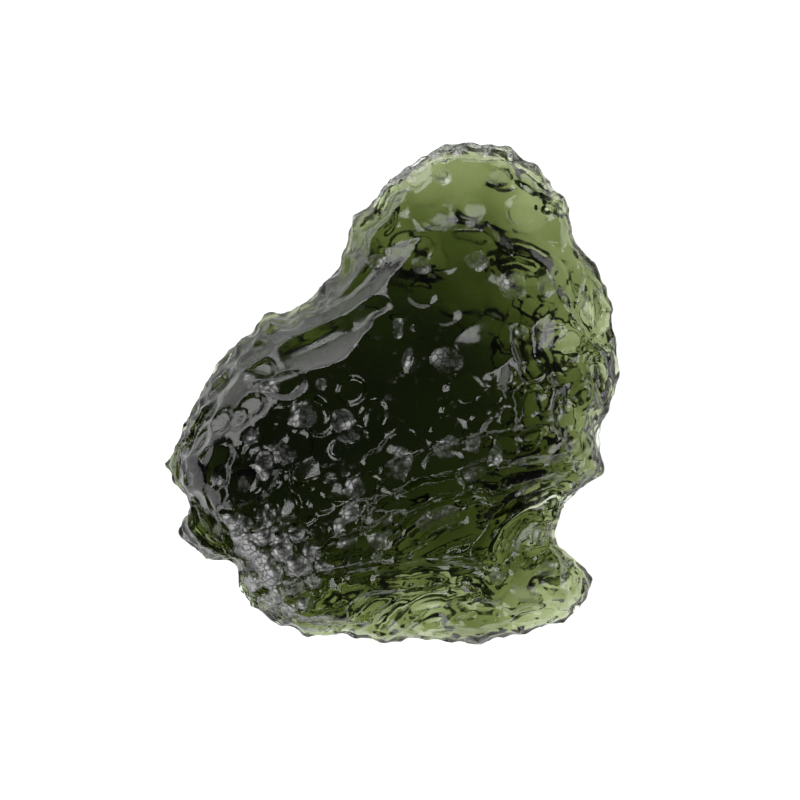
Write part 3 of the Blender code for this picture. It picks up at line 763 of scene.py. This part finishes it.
# %% Small pits and nicks
# The same columns as the fields and rows above
FINE_FIELDS = [
    (31, "top", -8.8, -3.4, 4.8, 4.0, 60, 24, 0.3, 0.5, 0.5, 1.15, 40),
    (35, "top", 1.6, -5.8, 7.6, 3.4, 16, 50, 0.24, 0.42, 0.4, 2.4, 17),
    (37, "top", 8.2, -1.2, 4.2, 3.2, 10, 22, 0.24, 0.45, 0.4, 1.8, 12),
    (39, "top", 12.0, 0.6, 1.6, 5.0, 0, 30, 0.24, 0.42, 0.45, 1.3, 90),
    (41, "top", 2.0, -10.6, 7.0, 1.6, 8, 20, 0.22, 0.36, 0.35, 2.6, 12),
    (43, "top", 8.6, -11.8, 3.4, 2.6, 0, 34, 0.24, 0.42, 0.35, 1.3, 0),
    (47, "top", 4.8, 9.5, 5.5, 5.5, 0, 8, 0.2, 0.3, 0.2, 1.2, 0),
]
FINE_CHIPS = [
    (61, 0.5, 0.8, 0.4, 0.66, 0.34, 1.3),
    (63, -0.5, 0.8, 0.4, 0.66, 0.34, 1.3),
    (65, 1.4, 0.9, 0.35, 0.6, 0.34, 1.3),
    (67, 2.6, 0.9, 0.4, 0.7, 0.34, 1.2),
]
# The lower left is packed like caviar: x, y and radius of each nodule
NODULES = [
    (-8.9, -8.4, 1.0),
    (-7.4, -7.5, 0.81),
    (-6.3, -7.5, 0.75),
    (-7.7, -8.8, 0.75),
    (-6.6, -8.7, 0.75),
    (-5.6, -8.6, 0.69),
    (-6.5, -9.7, 0.81),
    (-7.6, -10.2, 0.81),
    (-7.2, -11.2, 0.94),
    (-8.4, -9.6, 0.75),
    (-5.5, -10.6, 0.94),
    (-5.8, -11.9, 0.75),
    (-6.8, -12.4, 0.69),
    (-8.3, -11.7, 0.69),
    (-4.7, -9.7, 0.75),
    (-3.8, -10.6, 0.75),
    (-4.6, -11.6, 0.62),
    (-5.2, -12.8, 0.62),
    (-6.2, -13.3, 0.62),
    (-7.6, -12.9, 0.56),
    (-9.2, -10.6, 0.56),
    (-9.6, -7.6, 0.62),
]
NODULE_FIELD = (-6.8, -10.3, 4.4, 3.0, -42)  # centre x and y, half length, half width, turn
CREVICE_DEPTH = 0.6
CREVICE_SHAPE = 1.5  # more gives flatter nodules with narrower crevices
EDGE_SHARPNESS = 3  # how fast a patch fades in from its edge


def inside(points, normals, pits):
    """1 inside the pits of the upper side, and nought outside them, with a soft edge."""
    share = np.zeros(len(points))
    for x, y, radius, _, stretch, turn in pits:
        place = seat(points, normals, x, y, "top")
        hollow = bowl(points, normals, *place, radius, 1, stretch, turn)
        share = np.maximum(share, (EDGE_SHARPNESS * hollow).clip(0, 1))
    return share


def cut_furrows(mesh, furrows):
    """Cuts the underside along lines, with straight walls that meet at the bottom."""
    points, normals = points_of(mesh), normals_of(mesh)
    deepest = np.zeros(len(points))
    for line, half_width in furrows:
        for start, end in zip(line, line[1:]):
            start = np.array(start)
            run = np.array(end) - start
            share = ((points[:, :2] - start) @ run / run.dot(run)).clip(0, 1)
            away = np.hypot(*(points[:, :2] - start - share[:, None] * run).T)
            deepest = np.maximum(deepest, (half_width - away) * FURROW_SLOPE)
    points[:, 2] += deepest * (-normals[:, 2] / GRAZING).clip(0, 1)
    move_points(mesh, points)


def glass_over(mesh):
    """How much glass lies over each point of the underside."""
    points, normals = points_of(mesh), normals_of(mesh)
    tree = BVHTree.FromPolygons(points.tolist(), [face.vertices[:] for face in mesh.polygons])
    over = np.full(len(points), np.inf)
    for at in np.flatnonzero(normals[:, 2] < 0):
        start = Vector(points[at]) + Vector((0, 0, SKIN))
        over[at] = tree.ray_cast(start, Vector((0, 0, 1)))[3] or 0
    return over


def in_nodules(pit):
    return math.hypot(pit[0] - NODULE_FIELD[0], pit[1] - NODULE_FIELD[1]) < NODULE_FIELD[3]


def cut_nodules(mesh):
    """Cuts crevices, leaves a rounded nodule at each spot, and says where the nodules are."""
    points, normals = points_of(mesh), normals_of(mesh)
    cx, cy, half_length, half_width, turn = NODULE_FIELD
    c, s = math.cos(math.radians(turn)), math.sin(math.radians(turn))
    along = ((points[:, 0] - cx) * c + (points[:, 1] - cy) * s) / half_length
    across = ((points[:, 1] - cy) * c - (points[:, 0] - cx) * s) / half_width
    field = (EDGE_SHARPNESS * (1 - along**2 - across**2)).clip(0, 1)
    field *= (normals[:, 2] / GRAZING).clip(0, 1)
    gap = np.ones(len(points))
    for x, y, radius in NODULES:
        gap = np.minimum(gap, ((points[:, 0] - x) ** 2 + (points[:, 1] - y) ** 2) / radius**2)
    points[:, 2] -= CREVICE_DEPTH * gap**CREVICE_SHAPE * field
    move_points(mesh, points)
    return field * (2 - 2 * gap).clip(0, 1)


# %% Cut the fine relief
chip_rim(stone.data, FINE_CHIPS)
frost = inside(points_of(stone.data), normals_of(stone.data), FROSTED_PITS)
all_of_top = CLEAR_PITS + FROSTED_PITS + all_pits(PIT_FIELDS + FINE_FIELDS, "top")
etch(stone.data, "top", [pit for pit in all_of_top if not in_nodules(pit)])
frost = np.maximum(frost, cut_nodules(stone.data))
uncut, room = points_of(stone.data), glass_over(stone.data)
etch(stone.data, "bottom", LIGHT_WELLS + all_pits(PIT_FIELDS, "bottom"))
cut_furrows(stone.data, FURROWS)
points = points_of(stone.data)
points[:, 2] = np.minimum(points[:, 2], uncut[:, 2] + MOST_OF_THE_GLASS * room)
move_points(stone.data, points)
print("fine relief cut, frost on", int((frost > 0.5).sum()), "points")

# %% [markdown]
# ## Thin the net out
#
# Crests and pits need a fine net and smooth hollows don't. Decimate takes points away where they
# are missed least, which a coarser net all over couldn't do. Crumbs that came loose at the rim go.

# %% Fewer triangles, and no crumbs
MOST_TRIANGLES_SHOWN = 190000
attribute = stone.data.attributes.new("frost", "FLOAT", "POINT")
attribute.data.foreach_set("value", frost.astype(np.float32))
only(stone)
thin_out = stone.modifiers.new("thin out", "DECIMATE")
thin_out.ratio = MOST_TRIANGLES_SHOWN / (2 * len(stone.data.vertices))
apply_all(stone)
bpy.ops.mesh.separate(type="LOOSE")
*crumbs, stone = sorted(bpy.context.selected_objects, key=lambda bit: len(bit.data.vertices))
for crumb in crumbs:
    bpy.data.objects.remove(crumb)
only(stone)
print(len(crumbs), "crumbs taken off,", 2 * len(stone.data.vertices), "triangles left")

# %% [markdown]
# ## Seat the stone
#
# The finished stone takes the place of the plain one, so it gets exactly its box, and what would
# reach below the table is pressed flat, as the plain one's underside is.

# %% Seat
points = points_of(stone.data)
low, high = points.min(axis=0), points.max(axis=0)
TABLE_LEVEL = 0.0
plan_scale = (stone_high - stone_low)[:2] / (high - low)[:2]
points[:, :2] = (points[:, :2] - low[:2]) * plan_scale + stone_low[:2]
points[:, 2] = np.maximum(points[:, 2] * stone_high[2] / high[2], TABLE_LEVEL)
move_points(stone.data, points)
only(stone)
bpy.ops.object.shade_smooth()
stone.name = stone.data.name = "etched_moldavite"
print("seated at", points.min(axis=0).round(2), points.max(axis=0).round(2))

# %% [markdown]
# ## Where the skin is matt
#
# The hollows of a moldavite are bright and the worn edges are like fine silk. Two numbers from 0
# to 1 are kept at each point for it. Satin is made from how steep the skin is and how near the rim
# it lies, with more of it along the bay and on the underside. Frost marks the grey pits, the
# nodules and the pale edge of the crown. An image could hold them, but numbers on the points need
# no unwrapping.

# %% Satin and frost attributes
SATIN_RIM = 0.9  # mm in from the outline
SATIN_UNDERSIDE = 0.5
FROSTED_EDGE = 1.8  # mm in from the outline of the crown
SATIN_BAY = 3.5  # mm in from the outline of the bay
BAY_CORNER = (-1.0, -1.0)  # the bay lies to the left of this place and above it
CROWN_START = 11.0  # the crown's frosted edge fades in above this line
STEEP = 0.3  # skin steeper than this is part of the rim's wall
upright = np.abs(normals_of(stone.data)[:, 2])
rim_gap = np.full(len(points), np.inf)
edge_now = (outline_points() - low[:2]) * plan_scale + stone_low[:2]
for spot in edge_now[::2]:
    rim_gap = np.minimum(rim_gap, np.hypot(*(points[:, :2] - spot).T))
satin = (1 - rim_gap / SATIN_RIM).clip(0, 1) * (1 - upright).clip(0, 1) ** 0.5
in_bay = (points[:, 0] < BAY_CORNER[0]) & (points[:, 1] > BAY_CORNER[1])
satin = np.maximum(satin, in_bay * (1 - rim_gap / SATIN_BAY))
crown_edge = (1 - rim_gap / FROSTED_EDGE).clip(0, 1) * (points[:, 1] - CROWN_START).clip(0, 1)
frost = np.empty(len(points))
stone.data.attributes["frost"].data.foreach_get("value", frost)
frost = np.maximum(frost, crown_edge * (upright > STEEP))
satin = np.maximum(satin, np.where(normals_of(stone.data)[:, 2] < 0, SATIN_UNDERSIDE, 0))
attribute = stone.data.attributes.new("satin", "FLOAT", "POINT")
attribute.data.foreach_set("value", satin.astype(np.float32))
stone.data.attributes["frost"].data.foreach_set("value", frost.astype(np.float32))
print("frost on", int((frost > 0.5).sum()), "points, satin on", int((satin > 0.5).sum()))

# %% [markdown]
# ## Glass
#
# A Principled shader with full transmission bends light as glass does. The colour isn't on the
# skin but in the depth: a Volume Absorption shader takes a share of red, green and blue for every
# millimetre, most of it blue and more red than green, so thin lobes glow olive and the belly goes
# black. A little noise in the roughness and the bump keeps the gloss from looking poured.
#
# Where frost is set the skin is rougher and has a thin coat with a high IOR, the rime, which
# mirrors light softly and so looks grey. Voronoi cells break the rime into plates with dark gaps.

# %% Glass material
GLASS_IOR = 1.49
DEPTH_COLOUR = (0.66, 0.695, 0.50, 1.0)
DEPTH_DENSITY = 1780.0
GLOSS, SATIN, FROST = 0.08, 0.32, 0.42
COAT_IOR = 2.3  # of the rime on the frosted pits
CLEAR_TINT = (0.95, 1.0, 0.92, 1.0)

PLATES = 2600  # cells of the rime to a metre
GAP_TO_PLATE = (0.02, 0.16)  # distance from a cell's edge where the gap ends and the plate begins

# Noise patterns: how many spots to a metre, and how much detail
FROST_SPOTS, GLOSS_SPOTS = (1700, 4), (900, 3)
GRAINS, RIPPLES = (6000, 3), (1300, 2)

# The part of a noise that is used, and what it is spread to
RAGGED_FROST = (0.3, 0.7, -0.7, 0.5)
UNEVEN_GLOSS = (0.35, 0.7, GLOSS * 0.6, GLOSS * 2.2)
FROST_SETS_IN = (0.3, 0.8)

# Strength and height in millimetres of each kind of bump
GRAIN_BUMP, CRACK_BUMP, RIPPLE_BUMP = (0.35, 0.015), (0.6, 0.02), (0.25, 0.06)

glass = bpy.data.materials.new("moldavite_glass")
glass.use_nodes = True
nodes, links = glass.node_tree.nodes, glass.node_tree.links
shader = nodes["Principled BSDF"]
shader.inputs["Base Color"].default_value = CLEAR_TINT
shader.inputs["IOR"].default_value = GLASS_IOR
shader.inputs["Transmission Weight"].default_value = 1.0

depth = nodes.new("ShaderNodeVolumeAbsorption")
depth.inputs["Color"].default_value = DEPTH_COLOUR
depth.inputs["Density"].default_value = DEPTH_DENSITY
links.new(depth.outputs["Volume"], nodes["Material Output"].inputs["Volume"])

place = nodes.new("ShaderNodeTexCoord").outputs["Object"]


def noise(scale, detail):
    node = nodes.new("ShaderNodeTexNoise")
    node.inputs["Scale"].default_value = scale
    node.inputs["Detail"].default_value = detail
    links.new(place, node.inputs["Vector"])
    return node.outputs["Fac"]


def spread(value, from_low, from_high, to_low, to_high):
    node = nodes.new("ShaderNodeMapRange")
    for name, number in zip(
        ("From Min", "From Max", "To Min", "To Max"), (from_low, from_high, to_low, to_high)
    ):
        node.inputs[name].default_value = number
    links.new(value, node.inputs["Value"])
    return node.outputs["Result"]


def kept_number(name):
    node = nodes.new("ShaderNodeAttribute")
    node.attribute_name = name
    return node.outputs["Fac"]


def reckon(operation, *values):
    node = nodes.new("ShaderNodeMath")
    node.operation = operation
    for socket, value in zip(node.inputs, values):
        if isinstance(value, float):
            socket.default_value = value
        else:
            links.new(value, socket)
    return node.outputs["Value"]


def bump(height, strength, distance, below=None):
    node = nodes.new("ShaderNodeBump")
    node.inputs["Strength"].default_value = strength
    node.inputs["Distance"].default_value = distance * MM
    links.new(height, node.inputs["Height"])
    if below:
        links.new(below, node.inputs["Normal"])
    return node.outputs["Normal"]


# The plates of the rime
crackle = nodes.new("ShaderNodeTexVoronoi")
crackle.feature = "DISTANCE_TO_EDGE"
crackle.inputs["Scale"].default_value = PLATES
links.new(place, crackle.inputs["Vector"])
plates = spread(crackle.outputs["Distance"], *GAP_TO_PLATE, 0.0, 1.0)

# Where the skin is frosted, with ragged edges
ragged = reckon("ADD", kept_number("frost"), spread(noise(*FROST_SPOTS), *RAGGED_FROST))
frosted_skin = spread(ragged, *FROST_SETS_IN, 0.0, 1.0)

# Roughness: uneven gloss, satin on top of it, frost where it is rougher than both
uneven_gloss = spread(noise(*GLOSS_SPOTS), *UNEVEN_GLOSS)
worn = reckon("MULTIPLY_ADD", kept_number("satin"), SATIN - GLOSS, uneven_gloss)
roughness = reckon("MAXIMUM", worn, reckon("MULTIPLY", frosted_skin, FROST))
links.new(roughness, shader.inputs["Roughness"])
links.new(reckon("MULTIPLY", frosted_skin, plates), shader.inputs["Coat Weight"])
shader.inputs["Coat Roughness"].default_value = FROST
shader.inputs["Coat IOR"].default_value = COAT_IOR

# Fine grain, the cracks between the plates, and a slow ripple
grain = bump(noise(*GRAINS), *GRAIN_BUMP)
cracks = reckon("MULTIPLY", frosted_skin, reckon("SUBTRACT", plates, 1.0))
cracked = bump(cracks, *CRACK_BUMP, grain)
ripple = bump(noise(*RIPPLES), *RIPPLE_BUMP, cracked)
links.new(ripple, shader.inputs["Normal"])

stone.data.materials.clear()
stone.data.materials.append(glass)
print("glass has", len(nodes), "nodes")

# %% [markdown]
# ## Hand the stone over to the frame
#
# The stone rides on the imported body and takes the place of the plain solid.

# %% Hand over
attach(stone, "root")
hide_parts("moldavite")

# %% [markdown]
# ## Floor
#
# The stone lies on a pale light table. The table glows, so that light comes up through the thin
# lobes, and it shows as plain white in the picture.

# %% Floor
FLOOR_DROP = 0.05  # mm, so that it doesn't cross the flat of the stone
FLOOR_SIZE = 1.2  # m
FLOOR_WHITE = (0.9, 0.9, 0.9, 1)
FLOOR_ROUGHNESS = 0.8
FLOOR_GLOW = 0.85
bpy.ops.object.select_all(action="DESELECT")
bpy.ops.mesh.primitive_plane_add(size=FLOOR_SIZE, location=(0, 0, -FLOOR_DROP * MM))
floor = bpy.context.object
floor.name = "light_table"
white = bpy.data.materials.new("light_table")
white.use_nodes = True
surface = white.node_tree.nodes["Principled BSDF"]
surface.inputs["Base Color"].default_value = FLOOR_WHITE
surface.inputs["Roughness"].default_value = FLOOR_ROUGHNESS
surface.inputs["Emission Color"].default_value = (1, 1, 1, 1)
surface.inputs["Emission Strength"].default_value = FLOOR_GLOW
floor.data.materials.append(white)

# %% [markdown]
# ## Light
#
# Three soft boxes stand low round the stone. From straight above none of them is mirrored in level
# glass, so the smooth parts stay dark, and most pits mirror one of them on their far wall.

# %% Lights
LAMP_DISTANCE = 0.4  # m
WORLD_GLOW = 0.06


def softbox(name, azimuth, elevation, size, radiance):
    lamp = bpy.data.lights.new(name, "AREA")
    lamp.shape = "RECTANGLE"
    lamp.size, lamp.size_y = size
    lamp.energy = radiance * math.pi * size[0] * size[1]
    box = bpy.data.objects.new(name, lamp)
    turn, rise = math.radians(azimuth), math.radians(elevation)
    away = Vector((math.cos(turn) * math.cos(rise), math.sin(turn) * math.cos(rise), math.sin(rise)))
    box.location = away * LAMP_DISTANCE
    box.rotation_euler = away.to_track_quat("Z", "Y").to_euler()
    bpy.context.scene.collection.objects.link(box)


# Azimuth and elevation in degrees, size in metres, radiance
softbox("key", 120, 22, (0.36, 0.24), 3.9)
softbox("right", -10, 22, (0.28, 0.20), 4.0)
softbox("front", -125, 25, (0.40, 0.24), 3.9)

world = bpy.data.worlds.new("dim_studio")
world.use_nodes = True
world.node_tree.nodes["Background"].inputs["Color"].default_value = (1, 1, 1, 1)
world.node_tree.nodes["Background"].inputs["Strength"].default_value = WORLD_GLOW
bpy.context.scene.world = world

# %% [markdown]
# ## Camera
#
# The photo looks straight down on the stone from far enough that nothing is foreshortened.

# %% Camera
FRAME_WIDTH = 47.7  # mm across the picture, at the height of the rim
RIM_LEVEL = 4.0
CAMERA_PLACE = (0.45, -0.39, 360.0)  # mm
SENSOR_WIDTH = 36.0
NEAREST_SEEN = 0.01  # m
MOST_BOUNCES, MOST_GLOSSY_BOUNCES = 24, 8
lens = bpy.data.cameras.new("camera")
lens.sensor_width = SENSOR_WIDTH
lens.lens = SENSOR_WIDTH * (CAMERA_PLACE[2] - RIM_LEVEL) / FRAME_WIDTH
lens.clip_start = NEAREST_SEEN
camera = bpy.data.objects.new("camera", lens)
camera.location = Vector(CAMERA_PLACE) * MM
bpy.context.scene.collection.objects.link(camera)
bpy.context.scene.camera = camera

scene = bpy.context.scene
scene.view_settings.view_transform = "Standard"
scene.cycles.max_bounces = MOST_BOUNCES
scene.cycles.transmission_bounces = MOST_BOUNCES
scene.cycles.glossy_bounces = MOST_GLOSSY_BOUNCES
print("lens", round(lens.lens), "mm")
